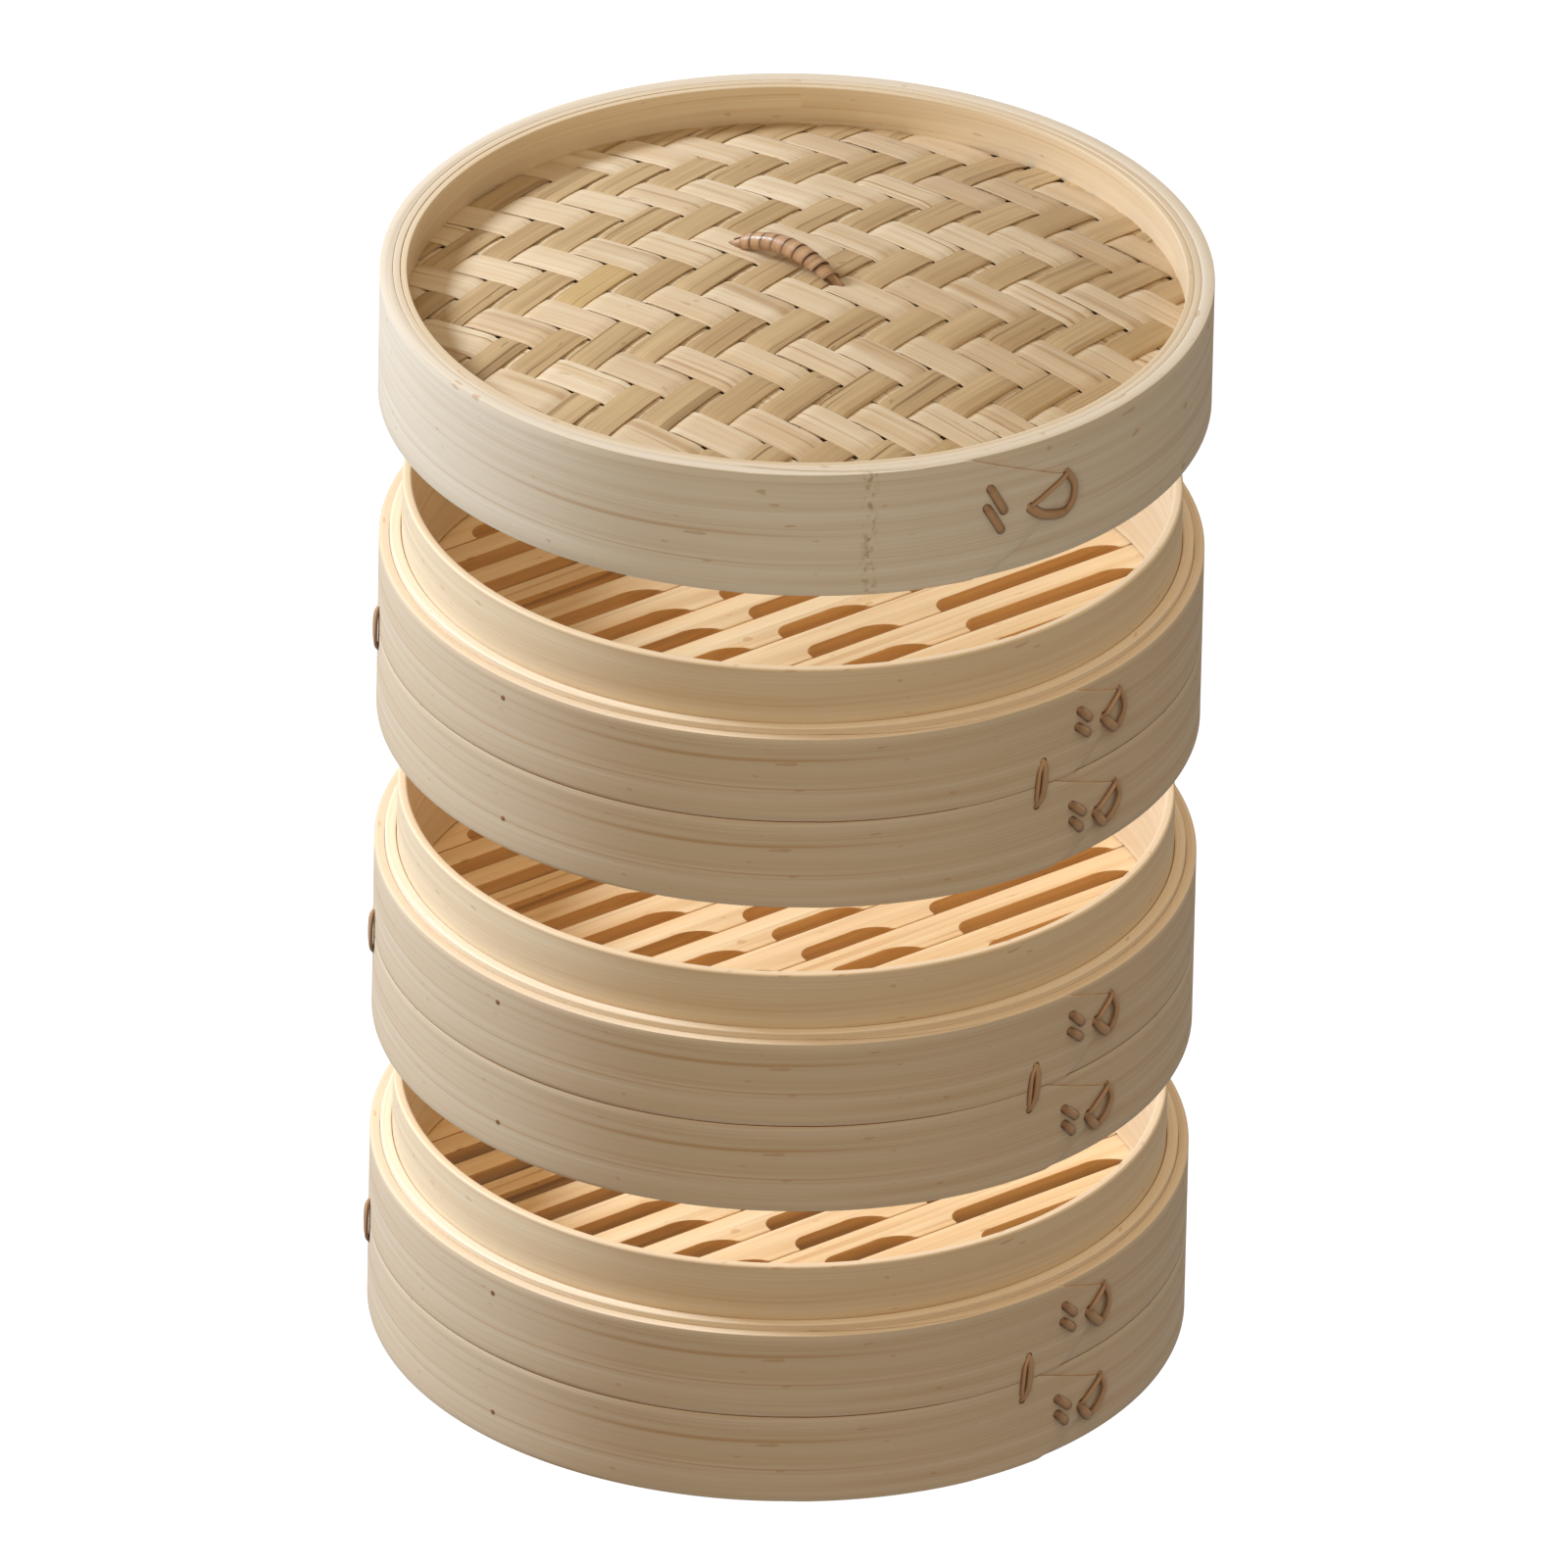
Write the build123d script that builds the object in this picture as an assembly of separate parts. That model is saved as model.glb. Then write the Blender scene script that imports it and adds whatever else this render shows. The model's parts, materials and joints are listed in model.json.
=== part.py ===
from build123d import *
import os
from math import atan2, cos, degrees, hypot, radians, sin, sqrt

# A three-tier bamboo steamer basket with a woven lid.  Every tier is a pair of thin bamboo hoops wrapped by
# two broad bands, a floor of notched slats on two cross bars, and rattan lashings that hold the wraps shut.
# Millimetres, +Z up.  The origin is the centre of the bottom tier's base rim, on the surface it stands on.
# At rest the tiers hang apart above one another, as on a display; lowered, each skirt slips over the
# collar beneath it.  Angles around the basket are measured from the front (-Y) towards the right (+X).

os.makedirs("parts", exist_ok=True)

# ---- driving dimensions -------------------------------------------------------------------------------
OUTER_R = 127.0            # outside of the tiers' bands: a ten inch steamer
BAND_T = 3.2               # thickness of a wrapped outer band
WRAP_T = 1.0               # how much a band's radius grows in its last turn
FIT_GAP = 0.1              # gap left between hoops that are pressed together
WALL_OUTER_R = 120.0       # outside of the inner wall, whose top is the collar
WALL_T = 3.0
SKIRT_INNER_R = 120.6      # inside of the skirt that slips over the collar beneath
LEDGE_Z = 61.0             # top of the packing hoop, where the next tier lands: the nesting pitch
BAND_DROP = 2.0            # the outer wrap ends this far below the ledge
COLLAR_Z = 79.5            # top of the inner wall
SEAM_Z = 30.0              # top of the floor, level with the seam between the two bands
SEAM_GAP = 0.4
SLAT_T = 5.2
SLAT_PITCH = 15.0
SLAT_GAP = 0.4
FIRST_SLAT_T = -113.3      # where the first joint between slats lies, across the slats
SLAT_TURN = 38.0           # direction of the slats, from +X towards +Y
NOTCH_DEPTH = 6.2
BAR_T = 4.8
BAR_W = 10.0
BAR_CENTRES = (-14.5, 33.5)  # of the two cross bars, along the slats
LIFT_MIDDLE = 103.2        # base of the middle tier at rest
LIFT_TOP = 210.4           # base of the top tier at rest
LIFT_LID = 320.3           # base of the lid at rest

LID_R = 128.0
LID_H = 42.0
LID_BAND_T = 4.0
LID_HOOP_T = 2.1
LID_INNER_R = 119.6        # inside of the rim above the weave
WEAVE_RISE = 11.0          # height of the domed weave's centre above its edge
WEAVE_DROP = 2.0           # its centre lies this far below the rim
STRIP_PITCH = 13.0
STRIP_W = 12.4
STRIP_T = 0.85
LAYER_GAP = 0.25           # left between the two families, so that they never cut each other
WEAVE_TURN = -38.0         # direction of the light strips, from +X towards +Y
LIGHT_OFFSET = 6.5         # where strip centre lines fall across each family
DARK_OFFSET = 3.5
HANDLE_AT = (-3.0, 9.5)
HANDLE_CHORD = 40.0
HANDLE_RISE = 7.0

STRAND_W = 2.3             # rattan strand, a flat peel
STRAND_T = 0.9
LEG_R = 0.85
HOLE_R = 1.1
PIN_R = 0.9


# ---- shared shapes ------------------------------------------------------------------------------------
def ring(r_in, r_out, z0, z1):
    """A plain hoop about the Z axis."""
    outer = Pos(0, 0, z0) * Cylinder(r_out, z1 - z0, align=(Align.CENTER, Align.CENTER, Align.MIN))
    bore = Pos(0, 0, z0 - 1) * Cylinder(r_in, z1 - z0 + 2, align=(Align.CENTER, Align.CENTER, Align.MIN))
    return outer - bore


def around(phi, radius, z=0.0):
    """The point at angle phi from the front, at a radius and height."""
    a = radians(phi)
    return Vector(radius * sin(a), -radius * cos(a), z)


def facing(phi, radius, z, tilt=0.0):
    """A location on a band: X along the surface to the right, Y up, Z outwards, turned by tilt about Z."""
    a = radians(phi)
    plane = Plane(around(phi, radius, z), x_dir=(cos(a), sin(a), 0), z_dir=(sin(a), -cos(a), 0))
    return plane.location * Rot(0, 0, tilt)


def wrapped_band(r_in, r_out, z0, z1, tip, taper_start):
    """A strip wound about the hoops.  Its outside is a spiral that ends in a tapered tail at the tip."""
    tip_phi, tip_z = tip

    def on_spiral(turned):
        return around(tip_phi + turned, r_out - WRAP_T + WRAP_T * turned / 360)

    edges = [ThreePointArc(on_spiral(t), on_spiral(t + 45), on_spiral(t + 90)) for t in (0, 90, 180, 270)]
    edges.append(Line(on_spiral(360), on_spiral(0)))
    band = Pos(0, 0, z0) * extrude(make_face(edges), z1 - z0)
    band -= Pos(0, 0, z0 - 1) * Cylinder(r_in, z1 - z0 + 2, align=(Align.CENTER, Align.CENTER, Align.MIN))
    # the corner of the tail above the taper is cut back to the turn beneath it
    reach = radians(tip_phi - taper_start) * r_out
    points = ((0.5, tip_z - 3), (0.5, z1 + 1), (-reach, z1 + 1), (-reach, z1), (-1, tip_z - 3))
    corner = make_face(Polyline(*points, close=True))
    wedge = facing(tip_phi, r_out - 6, 0) * extrude(corner, 12)
    under = Pos(0, 0, z0 - 1) * Cylinder(r_out - WRAP_T + 0.05, z1 - z0 + 2,
                                         align=(Align.CENTER, Align.CENTER, Align.MIN))
    return band - (wedge - under)


def staple(start, end, surface_r, leg_end_r):
    """One run of rattan across the surface, with a leg through the band at each end: (phi, z) to (phi, z)."""
    (phi_a, z_a), (phi_b, z_b) = start, end
    along = radians(phi_b - phi_a) * surface_r
    rise = z_b - z_a
    length = hypot(along, rise)
    mid = facing((phi_a + phi_b) / 2, surface_r + 0.12, (z_a + z_b) / 2, degrees(atan2(rise, along)))
    run = mid * (Pos(0, 0, STRAND_T / 2) * Box(length + STRAND_W, STRAND_W, STRAND_T))
    for phi, z in (start, end):
        leg = facing(phi, leg_end_r, z) * Cylinder(LEG_R, surface_r + 0.5 - leg_end_r,
                                                   align=(Align.CENTER, Align.CENTER, Align.MIN))
        run += leg
    return run


def drilled(band, points, r_out, r_hole):
    """The band with a hole square to its surface at each point."""
    for phi, z in points:
        band -= facing(phi, r_out - 8, z) * Cylinder(r_hole, 16)
    return band


def save(node, shape, lift=0.0):
    """Write a node, made of one solid or of several separate ones, at its rest height."""
    solids = shape if isinstance(shape, list) else [shape]
    placed = [Pos(0, 0, lift) * solid for solid in solids]
    for count, solid in enumerate(placed):
        solid.label = f"{node}_{count + 1}"
    whole = placed[0] if len(placed) == 1 else Compound(children=placed)
    export_step(whole, f"parts/{node}.step")


# ---- the rattan on a band: a closing loop at the tail's tip and two stitches behind it --------------------
def lashing_routes(tip, spread, drop, stitch_back, stitch_run, stitch_drop, stitch_step):
    """Straight runs as pairs of (phi, z).  The loop is a triangle: tip, left corner, foot."""
    phi, z = tip
    left = (phi - spread, z - 0.55 * drop)
    foot = (phi + 0.5, z - drop)
    routes = [(tip, left), ((phi + 1.1, z - 0.5), foot), ((phi - spread + 1.3, z - 0.55 * drop - 2.6),
                                                         (phi - 1.0, z - drop - 0.3))]
    for n in (0, 1):
        top = (phi - stitch_back - 0.3 * n, z - 0.2 - stitch_step * n)
        routes.append((top, (top[0] + stitch_run, top[1] - stitch_drop)))
    return routes


UPPER_ROUTES = lashing_routes((52.0, 51.2), spread=4.0, drop=11.5, stitch_back=8.0, stitch_run=2.2,
                              stitch_drop=4.8, stitch_step=5.6)
LOWER_ROUTES = lashing_routes((51.5, 19.4), spread=4.0, drop=11.5, stitch_back=8.5, stitch_run=2.2,
                              stitch_drop=4.8, stitch_step=5.6)
LID_ROUTES = lashing_routes((40.2, 27.6), spread=6.0, drop=12.5, stitch_back=12.4, stitch_run=2.4,
                            stitch_drop=9.6, stitch_step=6.4)
# each tail's tip as (angle, height), and the angle where its taper starts
UPPER_TAIL, UPPER_TAPER = (52.0, 50.0), 43.0
LOWER_TAIL, LOWER_TAPER = (51.5, 18.4), 40.0
LID_TAIL, LID_TAPER = (40.2, 26.0), 25.0
TIES = (38.0, 158.0, 275.4)   # angles of the ties that cross the seam
TIE_ENDS = (23.0, 38.0)
PINS = ((-43.4, 52.0), (-43.0, 10.0), (137.0, 46.0))


# ---- one tier, at its own base ------------------------------------------------------------------------
def slat(index):
    """A floor slat as a strip of the disc, its near edge notched between the cross bars."""
    low = FIRST_SLAT_T + SLAT_PITCH * index + SLAT_GAP / 2
    high = low + SLAT_PITCH - SLAT_GAP
    disc_r = OUTER_R - BAND_T - 0.2
    low, high = max(low, -disc_r), min(high, disc_r)
    z0 = SEAM_Z - SLAT_T
    disc = Pos(0, 0, z0) * Cylinder(disc_r, SLAT_T, align=(Align.CENTER, Align.CENTER, Align.MIN))
    strip = Pos(0, (low + high) / 2, z0 + SLAT_T / 2) * Box(2 * disc_r + 2, high - low, SLAT_T + 2)
    piece = disc & strip
    if high - low < SLAT_PITCH - 1:
        return piece
    inner = WALL_OUTER_R - WALL_T
    widest = max(abs(low), abs(low + NOTCH_DEPTH))
    wall = sqrt(max(inner ** 2 - widest ** 2, 0.0)) - 3
    bar_l, bar_r = BAR_CENTRES
    half = BAR_W / 2 + 1
    spans = ((-wall + 5, bar_l - half), (bar_l + half, bar_r - 1.3 * half), (bar_r + 1.3 * half, wall))
    for start, end in spans:
        if end - start > 12:
            piece -= notch(start, end, low, z0)
    return piece


def notch(start, end, edge, z0):
    """A steam slot: steep and round at its left end, running out gently at its right end."""
    steep, gentle = 5.0, min(14.0, 0.45 * (end - start))
    depth = NOTCH_DEPTH
    outline = [Line((start, edge - 1), (start, edge)),
               ThreePointArc((start, edge), (start + 0.27 * steep, edge + 0.72 * depth),
                             (start + steep, edge + depth)),
               Line((start + steep, edge + depth), (end - gentle, edge + depth)),
               ThreePointArc((end - gentle, edge + depth), (end - 0.42 * gentle, edge + 0.8 * depth),
                             (end, edge)),
               Line((end, edge), (end, edge - 1)),
               Line((end, edge - 1), (start, edge - 1))]
    return Pos(0, 0, z0 - 1) * extrude(make_face(outline), SLAT_T + 2)


def cross_bar(centre):
    """A bar under the slats, its ends let into notches in the skirt hoop."""
    reach = OUTER_R - BAND_T - 0.4
    top = SEAM_Z - SLAT_T - FIT_GAP
    bar = Pos(centre, 0, top - BAR_T / 2) * Box(BAR_W, 2 * reach, BAR_T)
    return bar & (Pos(0, 0, top - BAR_T / 2) * Cylinder(reach, BAR_T + 2))


def tier(name, lift):
    """All the pieces of one tier, written at its rest height."""
    band_in = OUTER_R - BAND_T
    hoop_out = band_in - FIT_GAP
    floor_z = SEAM_Z - SLAT_T
    wall = ring(WALL_OUTER_R - WALL_T, WALL_OUTER_R, SEAM_Z + FIT_GAP, COLLAR_Z)
    save(f"{name}_inner_wall", fillet(wall.edges().group_by(Axis.Z)[-1], 1.0), lift)
    save(f"{name}_packing_hoop", ring(WALL_OUTER_R + FIT_GAP, hoop_out, SEAM_Z + FIT_GAP, LEDGE_Z), lift)

    upper = wrapped_band(band_in, OUTER_R, SEAM_Z + SEAM_GAP, LEDGE_Z - BAND_DROP, UPPER_TAIL, UPPER_TAPER)
    lower = wrapped_band(band_in, OUTER_R, 0, SEAM_Z, LOWER_TAIL, LOWER_TAPER)
    upper_holes = [end for run in UPPER_ROUTES for end in run] + [(phi, TIE_ENDS[1]) for phi in TIES]
    lower_holes = [end for run in LOWER_ROUTES for end in run] + [(phi, TIE_ENDS[0]) for phi in TIES]
    upper = drilled(upper, upper_holes, OUTER_R, HOLE_R)
    lower = drilled(lower, lower_holes, OUTER_R, HOLE_R)
    for pin in PINS:
        if pin[1] > SEAM_Z:
            upper = drilled(upper, [pin], OUTER_R, PIN_R + 0.05)
        else:
            lower = drilled(lower, [pin], OUTER_R, PIN_R + 0.05)
    save(f"{name}_upper_band", upper, lift)
    save(f"{name}_lower_band", lower, lift)

    bars = [Rot(0, 0, SLAT_TURN) * cross_bar(centre) for centre in BAR_CENTRES]
    skirt = ring(SKIRT_INNER_R, hoop_out, 0, floor_z - FIT_GAP)
    for centre in BAR_CENTRES:
        slot = Pos(centre, 0, floor_z - BAR_T / 2) * Box(BAR_W + 0.2, 2 * OUTER_R, BAR_T + 0.4)
        skirt -= Rot(0, 0, SLAT_TURN) * slot
    save(f"{name}_skirt_hoop", skirt, lift)
    save(f"{name}_cross_bar_left", bars[0], lift)
    save(f"{name}_cross_bar_right", bars[1], lift)

    slats = [Rot(0, 0, SLAT_TURN) * slat(index) for index in range(-1, 16)]
    groups = {"front": slats[0:4], "front_middle": slats[4:7], "middle": slats[7:10],
              "back_middle": slats[10:13], "back": slats[13:17]}
    for place, pieces in groups.items():
        save(f"{name}_slats_{place}", pieces, lift)

    leg_end = band_in + 0.3
    save(f"{name}_upper_lashing", [staple(*run, OUTER_R, leg_end) for run in UPPER_ROUTES], lift)
    save(f"{name}_lower_lashing", [staple(*run, OUTER_R, leg_end) for run in LOWER_ROUTES], lift)
    ties = [staple((phi, TIE_ENDS[0]), (phi, TIE_ENDS[1]), OUTER_R, leg_end) for phi in TIES]
    save(f"{name}_seam_ties", ties, lift)
    standing = (Align.CENTER, Align.CENTER, Align.MIN)
    pin = Cylinder(PIN_R, OUTER_R + 0.2 - leg_end, align=standing)
    pins = [facing(phi, leg_end, z) * pin for phi, z in PINS]
    save(f"{name}_pins", pins, lift)


# ---- the lid, at its own base ---------------------------------------------------------------------------
WEAVE_TOP_Z = LID_H - WEAVE_DROP
DOME_R = (LID_INNER_R ** 2 + WEAVE_RISE ** 2) / (2 * WEAVE_RISE)
LID_BAND_IN = LID_R - LID_BAND_T
WEAVE_R = LID_BAND_IN - 0.3


def dome_z(radius):
    """Height of the weave's upper face."""
    return WEAVE_TOP_Z - radius ** 2 / (2 * DOME_R)


def domed_strip(depth, centre, half_length):
    """A strip along X whose faces follow the dome, a biquadratic patch, this far below the weave's top."""
    low, high = centre - STRIP_W / 2, centre + STRIP_W / 2
    along = ((-half_length, half_length ** 2), (0, -half_length ** 2), (half_length, half_length ** 2))
    across = ((low, low ** 2), (centre, low * high), (high, high ** 2))
    top = WEAVE_TOP_Z - depth
    grid = [[Vector(x, y, top - (xx + yy) / (2 * DOME_R)) for y, yy in across] for x, xx in along]
    return extrude(Face.make_bezier_surface(grid), STRIP_T, dir=(0, 0, -1))


def strips(depth, turn, offset, holes):
    """Parallel strips across the lid, trimmed to its round edge, with holes for the handle's feet."""
    edge = Cylinder(WEAVE_R, 4 * LID_H)
    pieces = []
    count = int(WEAVE_R / STRIP_PITCH) + 1
    for index in range(-count, count + 1):
        centre = offset + STRIP_PITCH * index
        nearest = max(abs(centre) - STRIP_W / 2, 0)
        if nearest > WEAVE_R - 4:
            continue
        strip = Rot(0, 0, turn) * domed_strip(depth, centre, sqrt(WEAVE_R ** 2 - nearest ** 2) + 2)
        pieces += ((strip & edge) - holes).solids()
    return pieces


def handle():
    """The rattan core, bowed over the weave with its feet pushed through it, and the wrap about it."""
    half = HANDLE_CHORD / 2
    base = dome_z(hypot(*HANDLE_AT))
    crown = base + HANDLE_RISE
    sag = 10.0                                     # how far the feet reach below the weave
    arch_r = (half ** 2 + HANDLE_RISE ** 2) / (2 * HANDLE_RISE)
    centre_z = crown - arch_r
    to_row = Pos(*HANDLE_AT, 0) * Rot(0, 0, WEAVE_TURN)

    def arc(reach):
        z = centre_z + sqrt(arch_r ** 2 - reach ** 2)
        return ThreePointArc((-reach, 0, z), (0, 0, crown), (reach, 0, z))

    def rod(reach, radius):
        path = arc(reach)
        return sweep(Plane(origin=path @ 0, z_dir=path % 0) * Circle(radius), path)

    core = rod(half + 2.5, 1.7)
    wrap = rod(half - 6.0, 3.5) - rod(half + 1.0, 1.8)
    foot_l = Pos(-half, 0, base - sag / 2) * Box(9, 5, sag)
    foot_r = Pos(half, 0, base - sag / 2) * Box(9, 5, sag)
    holes = to_row * (foot_l + foot_r)
    return to_row * core, to_row * wrap, holes


def lid(lift):
    """All the pieces of the lid, written at its rest height."""
    band = wrapped_band(LID_BAND_IN, LID_R, 0, LID_H, LID_TAIL, LID_TAPER)
    band = drilled(band, [end for run in LID_ROUTES for end in run], LID_R, HOLE_R)
    save("lid_outer_band", band, lift)
    edge_low = dome_z(WEAVE_R) - 2 * STRIP_T - LAYER_GAP - 0.2
    edge_high = dome_z(LID_INNER_R) + 0.2
    hoop_mid = LID_INNER_R + LID_HOOP_T
    lower = ring(SKIRT_INNER_R, LID_BAND_IN - FIT_GAP, 0, edge_low)
    save("lid_skirt_hoop", lower, lift)
    rim = ring(LID_INNER_R, hoop_mid, edge_high, LID_H)
    save("lid_rim_hoop", fillet(rim.edges().group_by(Axis.Z)[-1], 0.6), lift)
    save("lid_packing_hoop", ring(hoop_mid + FIT_GAP, LID_BAND_IN - FIT_GAP, edge_high, LID_H), lift)
    core, wrap, holes = handle()
    save("lid_weave_light_strips", strips(0, WEAVE_TURN, LIGHT_OFFSET, holes), lift)
    save("lid_weave_dark_strips", strips(STRIP_T + LAYER_GAP, WEAVE_TURN + 90, -DARK_OFFSET, holes), lift)
    save("lid_handle_core", core, lift)
    save("lid_handle_wrap", wrap, lift)
    save("lid_lashing", [staple(*run, LID_R, LID_BAND_IN + 0.3) for run in LID_ROUTES], lift)


tier("bottom_tier", 0.0)
tier("middle_tier", LIFT_MIDDLE)
tier("top_tier", LIFT_TOP)
lid(LIFT_LID)
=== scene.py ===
# %% [markdown]
# # A three-tier bamboo steamer with a woven lid
# The steamer is made of split bamboo and rattan. Each tier is two thin hoops wrapped by two broad bands,
# over a floor of notched slats. The lid is a hoop that holds a twill weave. Every piece below is modelled
# at the size the fixed frame gives, rides on its tier's body, and stands for the plain solid it replaces.

# %% Load the fixed frame
import json
import math
import random

import bpy
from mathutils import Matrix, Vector

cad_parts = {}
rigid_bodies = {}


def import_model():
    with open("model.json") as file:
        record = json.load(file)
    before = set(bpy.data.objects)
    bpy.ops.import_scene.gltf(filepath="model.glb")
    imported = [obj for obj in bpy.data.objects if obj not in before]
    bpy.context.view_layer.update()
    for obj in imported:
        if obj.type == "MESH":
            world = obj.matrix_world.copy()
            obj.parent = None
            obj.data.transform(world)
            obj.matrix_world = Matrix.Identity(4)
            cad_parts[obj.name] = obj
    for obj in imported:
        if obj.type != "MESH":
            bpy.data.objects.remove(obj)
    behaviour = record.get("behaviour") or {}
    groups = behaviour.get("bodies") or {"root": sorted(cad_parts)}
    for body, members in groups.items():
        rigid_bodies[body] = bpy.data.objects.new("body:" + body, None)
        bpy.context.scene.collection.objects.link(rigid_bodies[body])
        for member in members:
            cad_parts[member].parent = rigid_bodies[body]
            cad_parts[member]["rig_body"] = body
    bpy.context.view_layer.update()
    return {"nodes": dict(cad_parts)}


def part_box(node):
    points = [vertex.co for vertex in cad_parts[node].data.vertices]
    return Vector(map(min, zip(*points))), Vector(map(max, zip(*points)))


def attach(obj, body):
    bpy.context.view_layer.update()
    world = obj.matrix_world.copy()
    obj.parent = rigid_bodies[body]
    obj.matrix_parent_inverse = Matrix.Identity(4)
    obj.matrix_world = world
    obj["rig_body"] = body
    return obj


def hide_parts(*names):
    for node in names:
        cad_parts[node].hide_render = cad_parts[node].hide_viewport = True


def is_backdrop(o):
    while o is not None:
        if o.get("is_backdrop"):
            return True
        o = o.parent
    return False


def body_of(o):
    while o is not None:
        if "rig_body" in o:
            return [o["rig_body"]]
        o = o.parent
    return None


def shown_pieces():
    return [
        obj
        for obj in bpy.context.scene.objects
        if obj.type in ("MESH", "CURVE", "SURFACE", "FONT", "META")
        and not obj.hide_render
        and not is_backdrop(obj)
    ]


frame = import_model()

# %% [markdown]
# ## Where things are
# The three tiers are alike, so one is modelled standing on the ground and copied up. A point on a round
# wall is easiest to give by its angle from the front, turning to the right, with a radius and a height.
# That is how a maker marks out where the holes for the rattan go.

# %% Measures taken from the frame
MM = 0.001
TIERS = ("bottom_tier", "middle_tier", "top_tier")
base_z = {tier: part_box(f"{tier}_lower_band")[0].z for tier in TIERS}
lid_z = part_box("lid_outer_band")[0].z
collar_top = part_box("bottom_tier_inner_wall")[1].z
ledge_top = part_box("bottom_tier_packing_hoop")[1].z
SEAM_CLOSED = 0.22 * MM    # the upper band is pressed down on the lower one
upper_low, upper_high = (corner.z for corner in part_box("bottom_tier_upper_band"))
upper_low -= SEAM_CLOSED
lower_low, lower_high = (corner.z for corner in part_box("bottom_tier_lower_band"))
lid_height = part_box("lid_outer_band")[1].z - lid_z

BAND_R = 127 * MM
BAND_THICK = 3.2 * MM
LID_R = 128 * MM
LID_THICK = 4.0 * MM


def around(angle, radius, z):
    """The point at an angle from the front, in degrees, turning to the right."""
    a = math.radians(angle)
    return Vector((radius * math.sin(a), -radius * math.cos(a), z))


print("tier bases:", base_z, "lid base:", round(lid_z, 4))

# %% [markdown]
# ## Working by hand, in code
# An operator acts on whatever is selected, so every step starts by deselecting everything. After that the
# piece is made the active object, and its modifiers are applied so that the mesh itself holds the finished
# shape.


# %% Helpers for selecting and finishing
def deselect():
    """Leave edit mode and let go of everything."""
    if bpy.context.object and bpy.context.object.mode != "OBJECT":
        bpy.ops.object.mode_set(mode="OBJECT")
    bpy.ops.object.select_all(action="DESELECT")


def take(piece):
    """Make a piece the only one selected, and active."""
    deselect()
    piece.select_set(True)
    bpy.context.view_layer.objects.active = piece
    return piece


def apply_modifier(piece, kind, **settings):
    """Add a modifier, set it and apply it."""
    take(piece)
    modifier = piece.modifiers.new(kind.lower(), kind)
    for key, value in settings.items():
        setattr(modifier, key, value)
    bpy.ops.object.modifier_apply(modifier=modifier.name)


def soft_edges(piece, degrees=35):
    """Smooth shading that stays crisp across sharp corners."""
    take(piece)
    bpy.ops.object.shade_smooth_by_angle(angle=math.radians(degrees))


def reshape(piece, move):
    """Send every vertex through a function of its place."""
    for vertex in piece.data.vertices:
        vertex.co = move(vertex.co)


def lay_grain(piece, measure):
    """Write the UV map in metres along and across the fibres, from a function of a corner's place."""
    mesh = piece.data
    layer = mesh.uv_layers.get("grain") or mesh.uv_layers.new(name="grain")
    for loop in mesh.loops:
        layer.data[loop.index].uv = measure(mesh.vertices[loop.vertex_index].co)
    mesh.uv_layers.active = layer


def join(pieces, name):
    """Several meshes as one."""
    deselect()
    for piece in pieces:
        piece.select_set(True)
    bpy.context.view_layer.objects.active = pieces[0]
    if len(pieces) > 1:
        bpy.ops.object.join()
    pieces[0].name = name
    return pieces[0]


# %% [markdown]
# ## Bamboo and rattan finishes
# Split bamboo shows straight fibres, so its colour is mostly fine streaks that run along the strip. The
# streaks come from noise stretched a hundred times along the grain, on each piece's own UV map in metres. A
# slow noise bends them a little, a second one shifts the tone over centimetres, and a thresholded one draws
# the few orange lines where sap dried. The same fibres lift the surface with a small bump.


# %% Helpers for shader nodes
def mapped(tree, source, along, across, shift):
    """A map scaled along and across the fibres and moved to a place of its own."""
    mapping = tree.nodes.new("ShaderNodeMapping")
    mapping.inputs["Scale"].default_value = (along, across, 1)
    mapping.inputs["Location"].default_value = (shift, shift * 1.7, shift * 0.3)
    tree.links.new(source, mapping.inputs["Vector"])
    return mapping.outputs["Vector"]


def streaks(tree, source, along, across, shift, detail=3.0):
    """Noise with its own number of features per metre along and across the fibres."""
    noise = tree.nodes.new("ShaderNodeTexNoise")
    noise.inputs["Scale"].default_value = 1.0
    noise.inputs["Detail"].default_value = detail
    tree.links.new(mapped(tree, source, along, across, shift), noise.inputs["Vector"])
    return noise.outputs[0]


def spread(tree, source, low, high, to_low=0.0, to_high=1.0):
    """Stretch the part of a value between low and high."""
    node = tree.nodes.new("ShaderNodeMapRange")
    node.inputs["From Min"].default_value = low
    node.inputs["From Max"].default_value = high
    node.inputs["To Min"].default_value = to_low
    node.inputs["To Max"].default_value = to_high
    tree.links.new(source, node.inputs["Value"])
    return node.outputs["Result"]


def tint(tree, mode, share, under, over):
    """Lay one colour over another. Share and colours are sockets or plain values."""
    node = tree.nodes.new("ShaderNodeMix")
    node.data_type = "RGBA"
    node.blend_type = mode
    for index, value in ((0, share), (6, under), (7, over)):
        if isinstance(value, bpy.types.NodeSocket):
            tree.links.new(value, node.inputs[index])
        elif index == 0:
            node.inputs[0].default_value = value
        else:
            node.inputs[index].default_value = (*value, 1.0)
    return node.outputs[2]


def arithmetic(tree, operation, a, b):
    """One sum on two values, each a socket or a number."""
    node = tree.nodes.new("ShaderNodeMath")
    node.operation = operation
    for index, value in enumerate((a, b)):
        if isinstance(value, bpy.types.NodeSocket):
            tree.links.new(value, node.inputs[index])
        else:
            node.inputs[index].default_value = value
    return node.outputs[0]


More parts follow.
